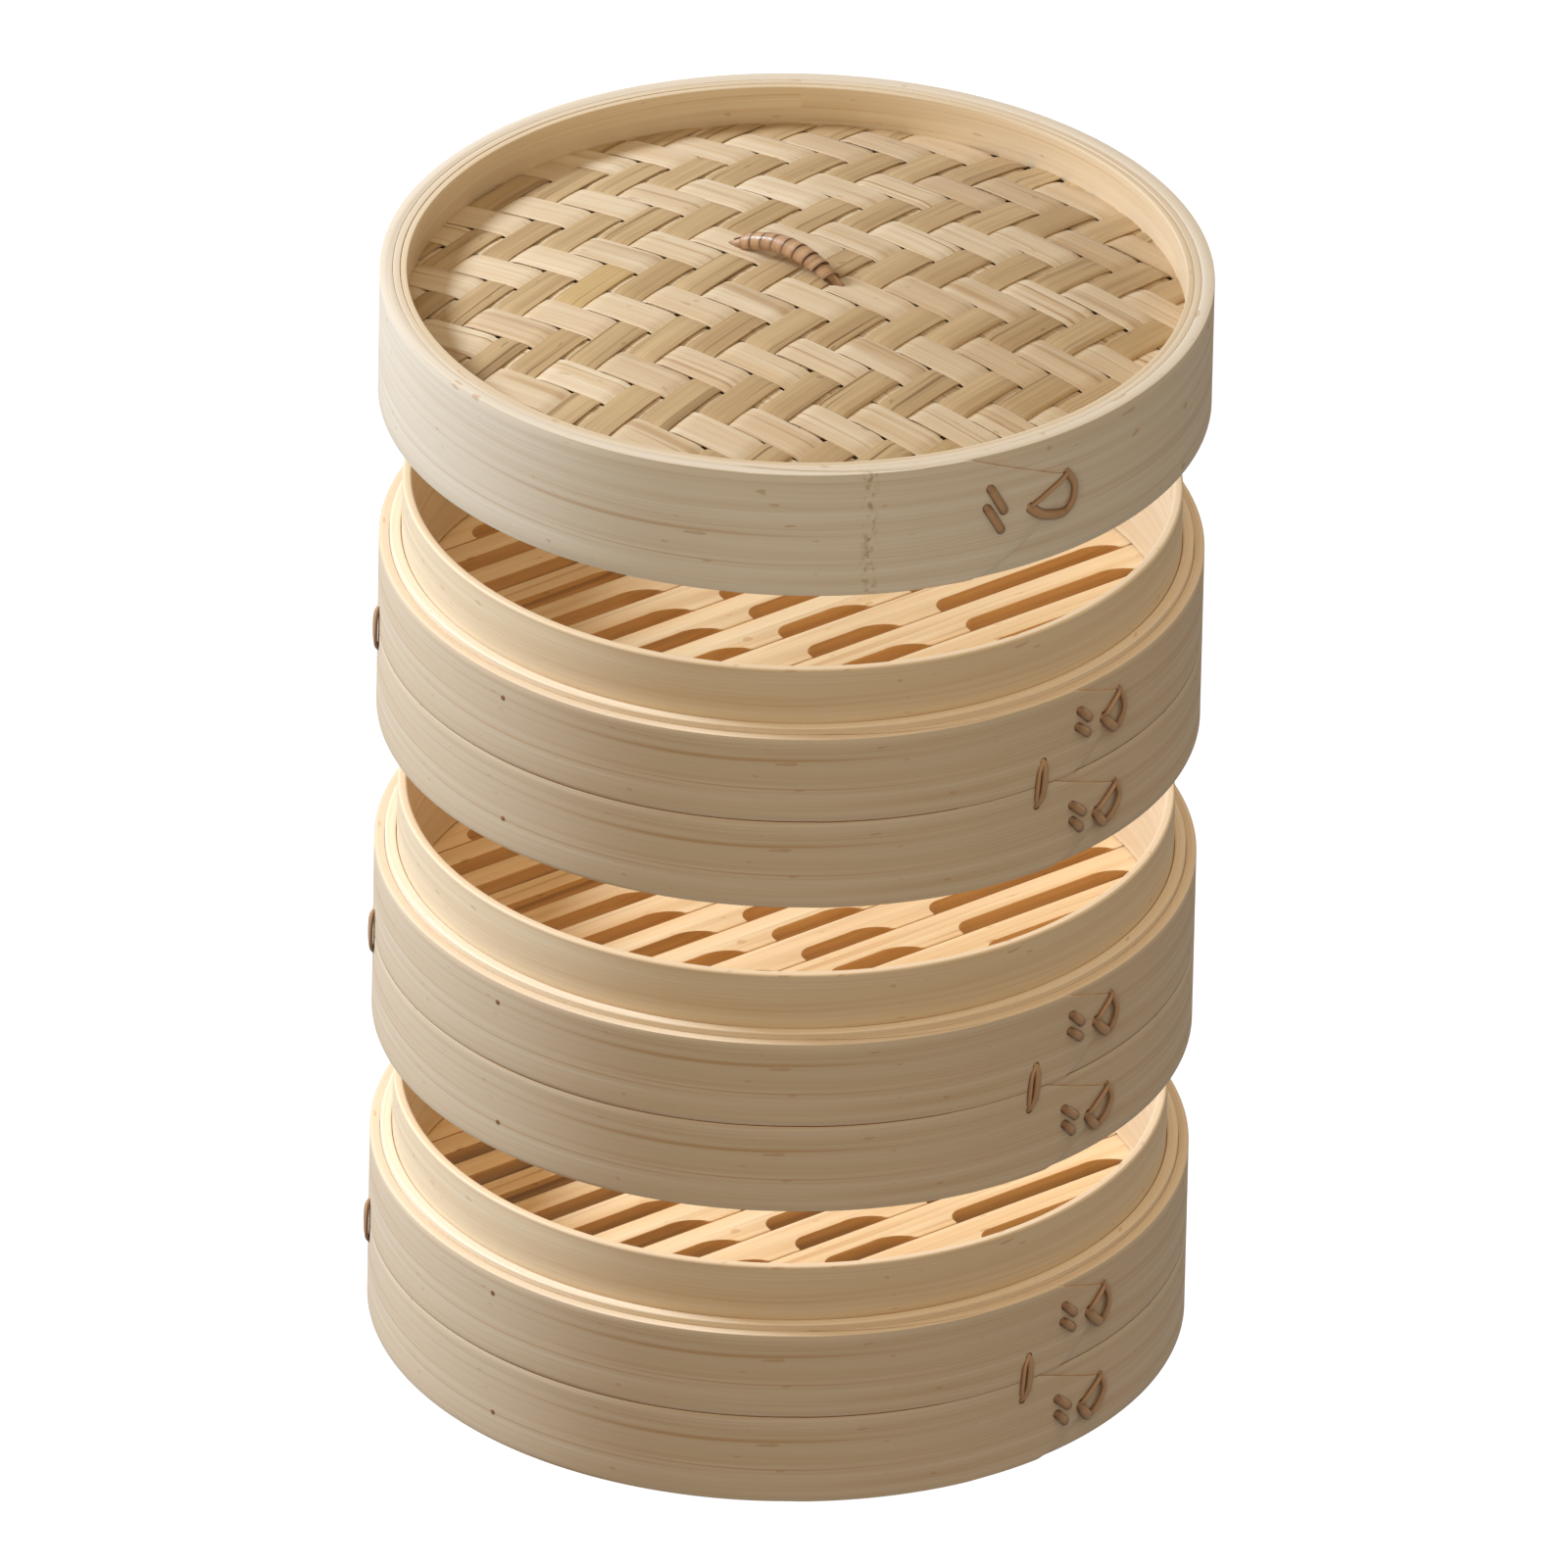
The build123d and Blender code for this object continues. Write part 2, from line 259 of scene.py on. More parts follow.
def wandering(tree, source, reach, along, across):
    """The UV map with its fibres bent a little to and fro, by up to half of reach."""
    slow = streaks(tree, source, along, across, 3.1, detail=1.0)
    offset = tree.nodes.new("ShaderNodeCombineXYZ")
    centred = arithmetic(tree, "SUBTRACT", slow, 0.5)
    tree.links.new(arithmetic(tree, "MULTIPLY", centred, reach), offset.inputs["Y"])
    add = tree.nodes.new("ShaderNodeVectorMath")
    tree.links.new(source, add.inputs[0])
    tree.links.new(offset.outputs[0], add.inputs[1])
    return add.outputs[0]


# %% One recipe for every bamboo finish
def bamboo(name, pale, tan, line, fibres=1500, lines=0.5, rough=0.5, bump=0.25, stretch=1.0, cloud=0.5):
    """Fibrous bamboo: pale and tan streaks, thin darker lines, slow clouds of tone and a fine relief."""
    material = bpy.data.materials.new(name)
    material.use_nodes = True
    tree = material.node_tree
    shader = tree.nodes["Principled BSDF"]
    uv = tree.nodes.new("ShaderNodeUVMap")
    uv.uv_map = "grain"
    flow = wandering(tree, uv.outputs[0], 5 * MM, 9 * stretch, 28)

    fine = streaks(tree, flow, 14 * stretch, fibres, 0.4)
    middle = streaks(tree, flow, 7 * stretch, fibres * 0.28, 5.2)
    broad = streaks(tree, flow, 4 * stretch, 60, 9.7, detail=2.0)
    tone = arithmetic(tree, "ADD", arithmetic(tree, "MULTIPLY", fine, 0.42),
                      arithmetic(tree, "MULTIPLY", middle, 0.58))
    colour = tint(tree, "MIX", spread(tree, tone, 0.34, 0.66), pale, tan)
    clouds = spread(tree, broad, 0.38, 0.68, 0.0, cloud)
    colour = tint(tree, "MIX", clouds, colour, tan)
    for across, shift, share in ((fibres * 0.16, 14.9, lines * 0.55), (fibres * 0.42, 33.3, lines)):
        thread = streaks(tree, flow, 5 * stretch, across, shift, detail=1.0)
        colour = tint(tree, "MIX", spread(tree, thread, 0.62, 0.74, 0.0, share), colour, line)
    specks = streaks(tree, uv.outputs[0], 160, 420, 21.0, detail=0.0)
    colour = tint(tree, "MIX", spread(tree, specks, 0.80, 0.84, 0.0, 0.45), colour, line)
    tree.links.new(colour, shader.inputs["Base Color"])
    tree.links.new(spread(tree, middle, 0.3, 0.7, rough - 0.07, rough + 0.09), shader.inputs["Roughness"])

    relief = tree.nodes.new("ShaderNodeBump")
    relief.inputs["Strength"].default_value = bump
    relief.inputs["Distance"].default_value = 0.25 * MM
    tree.links.new(tone, relief.inputs["Height"])
    tree.links.new(relief.outputs[0], shader.inputs["Normal"])
    shader.inputs["Specular IOR Level"].default_value = 0.42
    shader.inputs["Sheen Weight"].default_value = 0.06
    return material


CREAM = (0.75, 0.63, 0.465)
TAN = (0.63, 0.48, 0.305)
SAP = (0.50, 0.27, 0.10)
band_finish = bamboo("band_bamboo", CREAM, TAN, SAP, lines=0.6, cloud=0.45, stretch=0.8)
inner_finish = bamboo("inner_bamboo", (0.80, 0.67, 0.47), (0.70, 0.53, 0.32), SAP, lines=0.3, cloud=0.35)
rim_finish = bamboo("rim_bamboo", (0.82, 0.71, 0.54), (0.72, 0.57, 0.38), SAP, lines=0.25, cloud=0.3)
lid_band_finish = bamboo("lid_band_bamboo", (0.85, 0.765, 0.62), (0.74, 0.62, 0.45), SAP,
                         lines=0.45, cloud=0.35, stretch=0.8)
# The edge finish is painted shade: a dark brown for the bands' cut edges in the seam, along the tail and in
# the holes.
edge_shade_finish = bamboo("edge_shade_bamboo", (0.46, 0.25, 0.09), (0.36, 0.17, 0.05), (0.20, 0.09, 0.03), lines=0.5)
slat_finish = bamboo("slat_bamboo", (0.84, 0.68, 0.43), (0.72, 0.50, 0.255), (0.50, 0.27, 0.10),
                     fibres=900, lines=0.5, rough=0.48, cloud=0.5)
cut_fibre_and_shade_finish = bamboo("slat_cut_and_shade_bamboo", (0.70, 0.42, 0.16), (0.54, 0.285, 0.09), (0.28, 0.13, 0.04),
                    fibres=1300, lines=0.6, rough=0.62, bump=0.5)
bar_finish = bamboo("bar_bamboo", (0.64, 0.42, 0.20), (0.50, 0.30, 0.12), (0.34, 0.17, 0.06), fibres=900)
pin_finish = bamboo("pin_bamboo", (0.34, 0.18, 0.07), (0.22, 0.10, 0.035), (0.10, 0.045, 0.02), fibres=2500)
print("bamboo finishes:", [m.name for m in bpy.data.materials if "bamboo" in m.name])


# %% [markdown]
# The weave's strips are thinner splits, each with its own tone. The mesh carries that tone as an attribute
# named stain_and_shade: red is how dark a strip is, and on the light strips' right-hand side it also holds
# painted shade; green is how rosy and blue how golden. The finish mixes them in.


# %% The weave's finishes
def weave_bamboo(name, pale, tan, line):
    """Bamboo that is stained float by float as the mesh says, with painted shade on part of the light strips.
    """
    material = bamboo(name, pale, tan, line, fibres=1100, lines=0.95, rough=0.5, bump=0.8,
                      stretch=1.2, cloud=0.45)
    tree = material.node_tree
    shader = tree.nodes["Principled BSDF"]
    colour = shader.inputs["Base Color"].links[0].from_socket
    stain_and_shade = tree.nodes.new("ShaderNodeAttribute")
    stain_and_shade.attribute_name = "stain_and_shade"
    parts = tree.nodes.new("ShaderNodeSeparateColor")
    tree.links.new(stain_and_shade.outputs["Color"], parts.inputs[0])
    colour = tint(tree, "MULTIPLY", parts.outputs[0], colour, (0.62, 0.52, 0.40))
    colour = tint(tree, "MIX", parts.outputs[1], colour, (0.62, 0.36, 0.20))
    colour = tint(tree, "MIX", parts.outputs[2], colour, (0.60, 0.40, 0.13))
    tree.links.new(colour, shader.inputs["Base Color"])
    return material


light_weave = weave_bamboo("weave_light", (0.84, 0.71, 0.50), (0.66, 0.48, 0.27), (0.44, 0.26, 0.11))
dark_weave = weave_bamboo("weave_dark", (0.66, 0.48, 0.255), (0.46, 0.305, 0.14), (0.24, 0.135, 0.05))


def rattan_finish():
    """Peeled rattan: tan on its rounded skin, with painted shade where the mesh's shade attribute says so."""
    material = bamboo("rattan", (0.62, 0.405, 0.225), (0.44, 0.25, 0.12), (0.18, 0.08, 0.03), fibres=3000,
                      lines=0.7, rough=0.42, bump=0.5, stretch=9.0)
    tree = material.node_tree
    shader = tree.nodes["Principled BSDF"]
    colour = shader.inputs["Base Color"].links[0].from_socket
    peel_shade = tree.nodes.new("ShaderNodeAttribute")
    peel_shade.attribute_name = "peel_shade"
    # The dark colour is painted shade along the peel's edges and at its ends.
    dark = tint(tree, "MIX", peel_shade.outputs["Fac"], colour, (0.115, 0.042, 0.014))
    tree.links.new(dark, shader.inputs["Base Color"])
    shader.inputs["Coat Weight"].default_value = 0.12
    return material


rattan = rattan_finish()
print("weave and rattan finishes:", light_weave.name, dark_weave.name, rattan.name)

# %% [markdown]
# ## Turned hoops
# The collar, the packing hoop and the skirt hoop are strips bent into a ring and glued end to end. A ring of
# constant section is quickest to spin: a small rectangle is stood up at its radius, its corners are rounded
# with a bevel, its face is dropped so that only the outline is left, and the outline is spun a full turn.

# %% The hoop maker
SPIN_STEPS = 288


def turned_hoop(name, r_in, r_out, low, high, rounding):
    """A plain hoop with rounded edges, spun from its section."""
    deselect()
    bpy.ops.mesh.primitive_plane_add(size=1, location=((r_in + r_out) / 2, 0, (low + high) / 2),
                                     rotation=(math.pi / 2, 0, 0))
    hoop = bpy.context.object
    hoop.name = name
    hoop.scale = (r_out - r_in, high - low, 1)
    bpy.ops.object.transform_apply(location=True, rotation=True, scale=True)
    bpy.ops.object.mode_set(mode="EDIT")
    bpy.ops.mesh.select_all(action="SELECT")
    bpy.ops.mesh.bevel(offset=rounding, segments=4, affect="VERTICES")
    bpy.ops.mesh.select_all(action="SELECT")
    bpy.ops.mesh.delete(type="ONLY_FACE")
    bpy.ops.mesh.select_all(action="SELECT")
    bpy.ops.mesh.spin(steps=SPIN_STEPS, angle=2 * math.pi, center=(0, 0, 0), axis=(0, 0, 1))
    bpy.ops.mesh.select_all(action="SELECT")
    bpy.ops.mesh.remove_doubles(threshold=0.01 * MM)
    bpy.ops.mesh.normals_make_consistent(inside=False)
    bpy.ops.object.mode_set(mode="OBJECT")
    grain_around(hoop)
    soft_edges(hoop)
    return hoop


def grain_around(piece, shift=0.0):
    """Fibres round the ring. A face that crosses the map's seam, at the back, keeps its corners together."""
    mesh = piece.data
    layer = mesh.uv_layers.get("grain") or mesh.uv_layers.new(name="grain")
    for face in mesh.polygons:
        middle = math.atan2(face.center.x, -face.center.y)
        for index in face.loop_indices:
            place = mesh.vertices[mesh.loops[index].vertex_index].co
            radius = math.hypot(place.x, place.y)
            angle = math.atan2(place.x, -place.y)
            if abs(angle - middle) > math.pi:
                angle += 2 * math.pi if middle > 0 else -2 * math.pi
            layer.data[index].uv = (angle * radius + shift, place.z - radius + shift)


def finish(piece, material, slot_name, tier_part=None, node=None, body=None):
    """Give a finished piece its finish. A tier's part is copied to every tier, each copy with its own mesh."""
    if material:
        piece.data.materials.clear()
        piece.data.materials.append(material)
    if tier_part is None:
        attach(piece, body)
        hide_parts(node)
        return
    part, node_part = tier_part
    for tier in TIERS:
        copy = piece if tier == TIERS[0] else bpy.data.objects.new(part, piece.data.copy())
        if tier != TIERS[0]:
            bpy.context.scene.collection.objects.link(copy)
            for vertex in copy.data.vertices:
                vertex.co.z += base_z[tier] - base_z[TIERS[0]]
        copy.name = f"{tier}_{part}"
    for tier in TIERS:
        copy = bpy.data.objects[f"{tier}_{part}"]
        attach(copy, tier)
        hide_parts(f"{tier}_{node_part}")


# %% Collar, packing hoop and skirt hoop of the tiers
WALL_IN, WALL_OUT = 117 * MM, 120 * MM
wall_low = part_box("bottom_tier_inner_wall")[0].z
collar = turned_hoop("collar_wall", WALL_IN, WALL_OUT, wall_low, collar_top, 0.9 * MM)
finish(collar, inner_finish, "inner_bamboo", ("collar_wall", "inner_wall"))

HOOP_OUT = 123.7 * MM
packing = turned_hoop("ledge_hoop", WALL_OUT + 0.12 * MM, HOOP_OUT, wall_low, ledge_top, 0.7 * MM)
finish(packing, rim_finish, "rim_bamboo", ("ledge_hoop", "packing_hoop"))

SKIRT_IN = 120.6 * MM
skirt_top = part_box("bottom_tier_skirt_hoop")[1].z
skirt = turned_hoop("skirt", SKIRT_IN, HOOP_OUT, 0.0, skirt_top, 0.6 * MM)
finish(skirt, inner_finish, "inner_bamboo", ("skirt", "skirt_hoop"))
print("collar:", len(collar.data.polygons), "faces; ledge at", round(ledge_top * 1000, 1), "mm")

# %% [markdown]
# ## Bands wound from one strip
# The outer bands are long flat strips. The maker shaves both ends thin, winds the strip round the hoops,
# lets the thin tail lie over the thin start, cuts the tail to a taper and stitches its tip down with
# rattan. The model follows the same order: a flat strip is made from a grid, given thickness and rounded
# edges, cut at its tail and drilled for the rattan while it is still flat, and then shaved at its ends and
# wound onto the drum.


# %% Flat strips
def flat_strip(name, length, width, thick, cuts, rows, edge, edge_steps=2):
    """A straight strip along X from the origin, with its lower face on the ground."""
    deselect()
    bpy.ops.mesh.primitive_grid_add(x_subdivisions=cuts, y_subdivisions=rows, size=1,
                                    location=(length / 2, width / 2, 0))
    strip = bpy.context.object
    strip.name = name
    strip.scale = (length, width, 1)
    bpy.ops.object.transform_apply(location=True, scale=True)
    apply_modifier(strip, "SOLIDIFY", thickness=thick, offset=1.0)
    if edge > 0:
        apply_modifier(strip, "BEVEL", width=edge, segments=edge_steps, limit_method="ANGLE",
                       angle_limit=math.radians(60))
    return strip


# %% Shaving, cutting, drilling and winding a band
HOLE = 1.25 * MM
LAP = 104 * MM
RAMP = 56 * MM
LEAD = 4 * MM            # the tail begins to climb this much before it meets the start
TAIL_THICK = 0.6 * MM
STEPS_PER_TURN = 300
BAND_ROWS = 12
BAND_EDGE = 0.26 * MM
SHARED_HOLE = 2.3        # holes nearer than this many radii become one


def drilled(strip, places, size):
    """Small round holes through a strip that still lies flat. Two runs that end side by side share one."""
    cutters, done = [], []
    for x, y in places:
        if any(math.hypot(x - a, y - b) < SHARED_HOLE * size for a, b in done):
            continue
        done.append((x, y))
        deselect()
        bpy.ops.mesh.primitive_cylinder_add(vertices=16, radius=size, depth=12 * MM, location=(x, y, 0))
        cutters.append(bpy.context.object)
        bpy.ops.object.transform_apply(location=True, rotation=True, scale=True)
    drill = join(cutters, "drill")
    apply_modifier(strip, "BOOLEAN", object=drill, operation="DIFFERENCE", solver="EXACT")
    bpy.data.objects.remove(drill)


def wound_band(name, radius, thick, low, high, tip, taper_from, tip_width, holes):
    """A band whose outside is at the radius, with a tail that tapers to the tip, given as (angle, height)."""
    tip_angle, tip_height = tip
    drum = radius - thick
    middle = radius - thick / 2
    turn = 2 * math.pi * middle
    length = turn + LAP
    height = high - low
    strip = flat_strip(name, length, height, thick, int(STEPS_PER_TURN * length / turn), BAND_ROWS,
                       BAND_EDGE)
    taper = math.radians(tip_angle - taper_from) * radius
    tip_top = tip_height - low + tip_width / 2
    tip_low = tip_height - low - tip_width / 2

    def cut_tail(place):
        gone = max(0.0, (place.x - (length - taper)) / taper)
        top = height + (tip_top - height) * gone
        bottom = tip_low * gone ** 1.5
        return Vector((place.x, bottom + place.y / height * (top - bottom), place.z))

    reshape(strip, cut_tail)
    places = [(length - middle * math.radians((tip_angle - angle) % 360), z - low) for angle, z in holes]
    drilled(strip, places, HOLE)
    lay_grain(strip, lambda place: (place.x, place.y + place.z))

    def shave(place):
        under = min(place.x / RAMP, 1.0)
        over = min(max((place.x - turn) / RAMP, 0.0), 1.0)
        share = max(under, 0.01) * (1 - (1 - TAIL_THICK / thick) * over)
        gone = max(0.0, (place.x - (length - taper)) / taper)
        rise = place.y - tip_low * gone ** 1.5
        feather = 1.0 if gone == 0 else min(1.0, max(0.04, rise / (7 * MM) + (1 - gone)))
        return place.z * share * feather

    def wind(place):
        angle = tip_angle - math.degrees((length - place.x) / middle)
        climbed = max(place.x - turn + LEAD, 0.0)
        lies_on = drum + thick * min(climbed / RAMP, 1.0) + 0.02 * MM * min(climbed / LEAD, 1.0)
        return around(angle, lies_on + shave(place), low + place.y)

    reshape(strip, wind)
    soft_edges(strip)
    return strip


# %% Where the rattan goes
# Routes are (angle, height in mm above the tier's or the lid's base), read from left to right on the wall.
UPPER_RATTAN = {
    "diagonal": ((52.4, 51.6), (49.1, 45.6)),
    "bottom": ((49.0, 45.0), (49.9, 42.4), (51.0, 40.0), (51.8, 38.8)),
    "side": ((52.5, 51.2), (53.3, 47.0), (53.1, 42.6), (52.2, 38.9)),
    "stitch_a": ((44.2, 51.5), (46.3, 46.8)),
    "stitch_b": ((43.9, 46.0), (46.1, 41.7)),
}
LOWER_RATTAN = {
    "diagonal": ((52.0, 19.6), (47.9, 13.3)),
    "bottom": ((47.8, 12.8), (48.4, 10.4), (49.2, 8.2), (49.9, 7.3)),
    "side": ((52.1, 19.2), (52.7, 15.0), (51.8, 10.6), (50.2, 7.4)),
    "stitch_a": ((43.1, 19.2), (45.6, 14.3)),
    "stitch_b": ((43.2, 13.7), (45.0, 9.2)),
}
LID_RATTAN = {
    "diagonal": ((40.4, 28.0), (34.3, 20.8)),
    "bottom": ((34.2, 20.2), (36.0, 17.0), (38.4, 15.2), (40.2, 14.6)),
    "side": ((40.6, 27.8), (41.6, 23.4), (41.4, 18.4), (40.5, 14.7)),
    "stitch_a": ((27.8, 30.8), (30.1, 21.4)),
    "stitch_b": ((27.3, 24.3), (29.7, 14.9)),
}
TIES = (37.4, 157.4, 275.4)
TIE_TOP, TIE_FOOT = 38.4, 23.4
PINS = ((-43.4, 52.0), (-43.0, 10.0), (137.0, 46.0))


def hole_ends(routes):
    """The two ends of every run, where it goes through the wall."""
    return [(angle, z * MM) for route in routes.values() for angle, z in (route[0], route[-1])]


def paint_edge_shade(band, finishes, top):
    """Give the cut edges below the top, at the seam, along the tail and round the holes, the darker of the two
    finishes, which is painted shade.
    """
    band.data.materials.clear()
    for material in finishes:
        band.data.materials.append(material)
    for face in band.data.polygons:
        outward = Vector((face.center.x, face.center.y, 0)).normalized()
        on_edge = abs(face.normal.dot(outward)) < 0.75
        face.material_index = int(on_edge and face.center.z < top)


def cane_joint(material, along, half):
    """A joint of the cane across a strip: a row of small dark specks at one place along the grain."""
    tree = material.node_tree
    shader = tree.nodes["Principled BSDF"]
    colour = shader.inputs["Base Color"].links[0].from_socket
    uv = tree.nodes.new("ShaderNodeUVMap")
    uv.uv_map = "grain"
    parts = tree.nodes.new("ShaderNodeSeparateXYZ")
    tree.links.new(uv.outputs[0], parts.inputs[0])
    offset = arithmetic(tree, "SUBTRACT", parts.outputs[0], along)
    away = arithmetic(tree, "ABSOLUTE", offset, 0.0)
    near = spread(tree, away, 0.0, half, 1.0, 0.0)
    specks = spread(tree, streaks(tree, uv.outputs[0], 650, 420, 2.3, detail=1.0), 0.50, 0.68)
    share = arithmetic(tree, "MULTIPLY", near, specks)
    tree.links.new(tint(tree, "MIX", share, colour, (0.50, 0.36, 0.22)), shader.inputs["Base Color"])


# %% The tiers' bands and the lid's band
upper_holes = hole_ends(UPPER_RATTAN) + [(angle + 0.5, TIE_TOP * MM) for angle in TIES]
upper = wound_band("upper_wrap", BAND_R, BAND_THICK, upper_low, upper_high, (52.6, 49.5 * MM), 43.2, 3.5 * MM,
                   upper_holes)
paint_edge_shade(upper, (band_finish, edge_shade_finish), upper_high - 0.5 * MM)
finish(upper, None, "band_bamboo", ("upper_wrap", "upper_band"))

lower_holes = hole_ends(LOWER_RATTAN) + [(angle - 0.5, TIE_FOOT * MM) for angle in TIES]
lower = wound_band("lower_wrap", BAND_R, BAND_THICK, lower_low, lower_high, (52.0, 17.6 * MM), 40.0, 3.5 * MM,
                   lower_holes)
paint_edge_shade(lower, (band_finish, edge_shade_finish), lower_high + MM)
finish(lower, None, "band_bamboo", ("lower_wrap", "lower_band"))

LID_TIP = 40.8
lid_band = wound_band("lid_wrap", LID_R, LID_THICK, 0.0, lid_height, (LID_TIP, 24.6 * MM), 25.0, 5 * MM,
                      hole_ends(LID_RATTAN))
paint_edge_shade(lid_band, (lid_band_finish, edge_shade_finish), lid_height - 0.5 * MM)

LID_JOINT = 10.6           # the angle at which the lid's strip has a joint of the cane
lid_middle = LID_R - LID_THICK / 2
joint_along = 2 * math.pi * lid_middle + LAP - lid_middle * math.radians(LID_TIP - LID_JOINT)
cane_joint(lid_band_finish, joint_along, 3.0 * MM)
print("bands:", len(upper.data.polygons), len(lower.data.polygons), len(lid_band.data.polygons), "faces")


# %% [markdown]
# ## Rattan stitches, loops and ties
# A rattan peel is flat below and rounded above. It comes out of one hole, lies along the wall and goes back
# in at the next. Its colour is darkened along its two edges and towards its ends, where it dives into the
# holes, as painted shade. Each run is a flat strip again: its section is crowned, and it is laid along a
# smooth path whose two ends turn down through the holes. The loop at a tail's tip is three such runs, and
# the tie over the seam is two that part a little and share their holes.


# %% Laying a peel along a path
def smooth_path(points, samples):
    """A smooth line through the points, as evenly stepped as they are."""
    ends = [2 * points[0] - points[1], *points, 2 * points[-1] - points[-2]]
    path = []
    for k in range(1, len(ends) - 2):
        p0, p1, p2, p3 = ends[k - 1:k + 3]
        for n in range(samples):
            t = n / samples
            path.append(0.5 * (2 * p1 + (p2 - p0) * t + (2 * p0 - 5 * p1 + 4 * p2 - p3) * t ** 2
                               + (3 * p1 - p0 - 3 * p2 + p3) * t ** 3))
    path.append(points[-1].copy())
    return path


def lay_along(strip, path, sides, length, width):
    """Bend a flat strip so that X follows the path, Y goes to the side and Z stands off it."""
    last = len(path) - 1

    def bend(place):
        s = min(max(place.x / length, 0.0), 1.0) * last
        k = min(int(s), last - 1)
        t = s - k
        tangent = (path[k + 1] - path[k]).normalized()
        if 0 < k < last - 1:
            before = (path[k] - path[k - 1]).normalized()
            after = (path[k + 2] - path[k + 1]).normalized()
            tangent = (before * (1 - t) + tangent * 2 + after * t).normalized()
        side = sides[k].lerp(sides[k + 1], t).normalized()
        out = tangent.cross(side).normalized()
        return path[k].lerp(path[k + 1], t) + side * (place.y - width / 2) + out * place.z

    reshape(strip, bend)


def eased(t):
    """From 0 to 1 with a soft start and a soft end."""
    t = min(max(t, 0.0), 1.0)
    return t * t * (3 - 2 * t)


def peel_shade(strip, length, width, reach):
    """Paint shade on the peel: darker over the given reach at its ends, where it goes into the holes, and
    along its two edges.
    """
    mark = strip.data.color_attributes.new("peel_shade", "FLOAT_COLOR", "POINT")
    for number, vertex in enumerate(strip.data.vertices):
        from_end = min(vertex.co.x, length - vertex.co.x)
        end = 1 - eased(from_end / reach)
        edge = abs(2 * vertex.co.y / width - 1) ** 4
        share = min(1.0, end + 0.75 * edge)
        mark.data[number].color = (share, share, share, 1.0)


def peel(name, path, sides, width, thick, belly=0.0, reach=5.4 * MM):
    """A rattan peel along a path. Belly makes it wider in the middle than at its ends."""
    length = sum((b - a).length for a, b in zip(path, path[1:]))
    strip = flat_strip(name, length, width, thick, 2 * len(path), 8, 0.0)
    lay_grain(strip, lambda place: (place.x, place.y + place.z))
    peel_shade(strip, length, width, reach)

    def shape(place):
        across = 2 * (place.y / width - 0.5)
        crown = math.sqrt(max(0.0, 1 - 0.93 * across * across))
        swell = 1 - belly * (1 - math.sin(math.pi * place.x / length))
        return Vector((place.x, width * (0.5 + across / 2 * swell), place.z * crown))

    reshape(strip, shape)
    lay_along(strip, path, sides, length, width)
    take(strip)
    bpy.ops.object.mode_set(mode="EDIT")
    bpy.ops.mesh.select_all(action="SELECT")
    bpy.ops.mesh.normals_make_consistent(inside=False)
    bpy.ops.object.mode_set(mode="OBJECT")
    soft_edges(strip, 60)
    return strip


def stitched_run(name, route, radius, width=2.2 * MM, thick=1.15 * MM, lift=0.3 * MM, belly=0.0):
    """One run over the wall, out of the first hole of the route and into the last."""
    surface = [(angle, z * MM) for angle, z in route]
    first, last = surface[0], surface[-1]
    deep, flush = radius - 2.6 * MM, radius - 0.35 * MM
    if len(surface) == 2:
        middle = ((first[0] + last[0]) / 2, (first[1] + last[1]) / 2)
        quarter = [tuple(a + (b - a) * share for a, b in zip(first, last)) for share in (0.22, 0.78)]
        surface = [first, quarter[0], middle, quarter[1], last]
    points = [around(first[0], deep, first[1]), around(first[0], flush, first[1])]
    points += [around(angle, radius + lift, z) for angle, z in surface[1:-1]]
    points += [around(last[0], flush, last[1]), around(last[0], deep, last[1])]
    path = smooth_path(points, 7)
    sides = []
    for k, place in enumerate(path):
        outward = Vector((place.x, place.y, 0)).normalized()
        a, b = path[max(k - 4, 0)], path[min(k + 4, len(path) - 1)]
        run = (b - a) - outward * (b - a).dot(outward)
        if run.length < 0.3 * MM:
            run = around(last[0], radius, last[1]) - around(first[0], radius, first[1])
        sides.append(outward.cross(run).normalized())
    return peel(name, path, sides, width, thick, belly)


RUN_WIDTH = {"diagonal": 1.5 * MM, "bottom": 3.4 * MM, "side": 2.5 * MM,
             "stitch_a": 2.9 * MM, "stitch_b": 2.9 * MM}


def lashing(name, routes, radius):
    """The loop and two stitches that hold a tail."""
    runs = []
    for kind, route in routes.items():
        runs.append(stitched_run(f"{name}_{kind}", route, radius + TAIL_THICK, RUN_WIDTH[kind]))
    return join(runs, name)


TIE_BULGE = 3.8            # mm from the tie's middle to where its turns are furthest apart


def seam_tie(angle):
    """Two turns of one peel over the seam, that part a little in the middle and share their holes."""
    runs = []
    for bow, width in ((-0.55, 1.5 * MM), (0.5, 2.6 * MM)):
        middle = (TIE_TOP + TIE_FOOT) / 2
        route = ((angle + 0.5, TIE_TOP), (angle + bow + 0.25, middle + TIE_BULGE),
                 (angle + bow - 0.1, middle - TIE_BULGE), (angle - 0.5, TIE_FOOT))
        runs.append(stitched_run("tie", route, BAND_R, width, 1.2 * MM, 0.5 * MM, belly=0.3))
    return join(runs, "tie")



# %% Lashings, ties and pins
upper_lashing = lashing("upper_stitches", UPPER_RATTAN, BAND_R)
finish(upper_lashing, rattan, "rattan", ("upper_stitches", "upper_lashing"))
lower_lashing = lashing("lower_stitches", LOWER_RATTAN, BAND_R)
finish(lower_lashing, rattan, "rattan", ("lower_stitches", "lower_lashing"))

ties = [seam_tie(angle) for angle in TIES]
finish(join(ties, "ties"), rattan, "rattan", ("ties", "seam_ties"))

lid_lashing = lashing("lid_stitches", LID_RATTAN, LID_R)


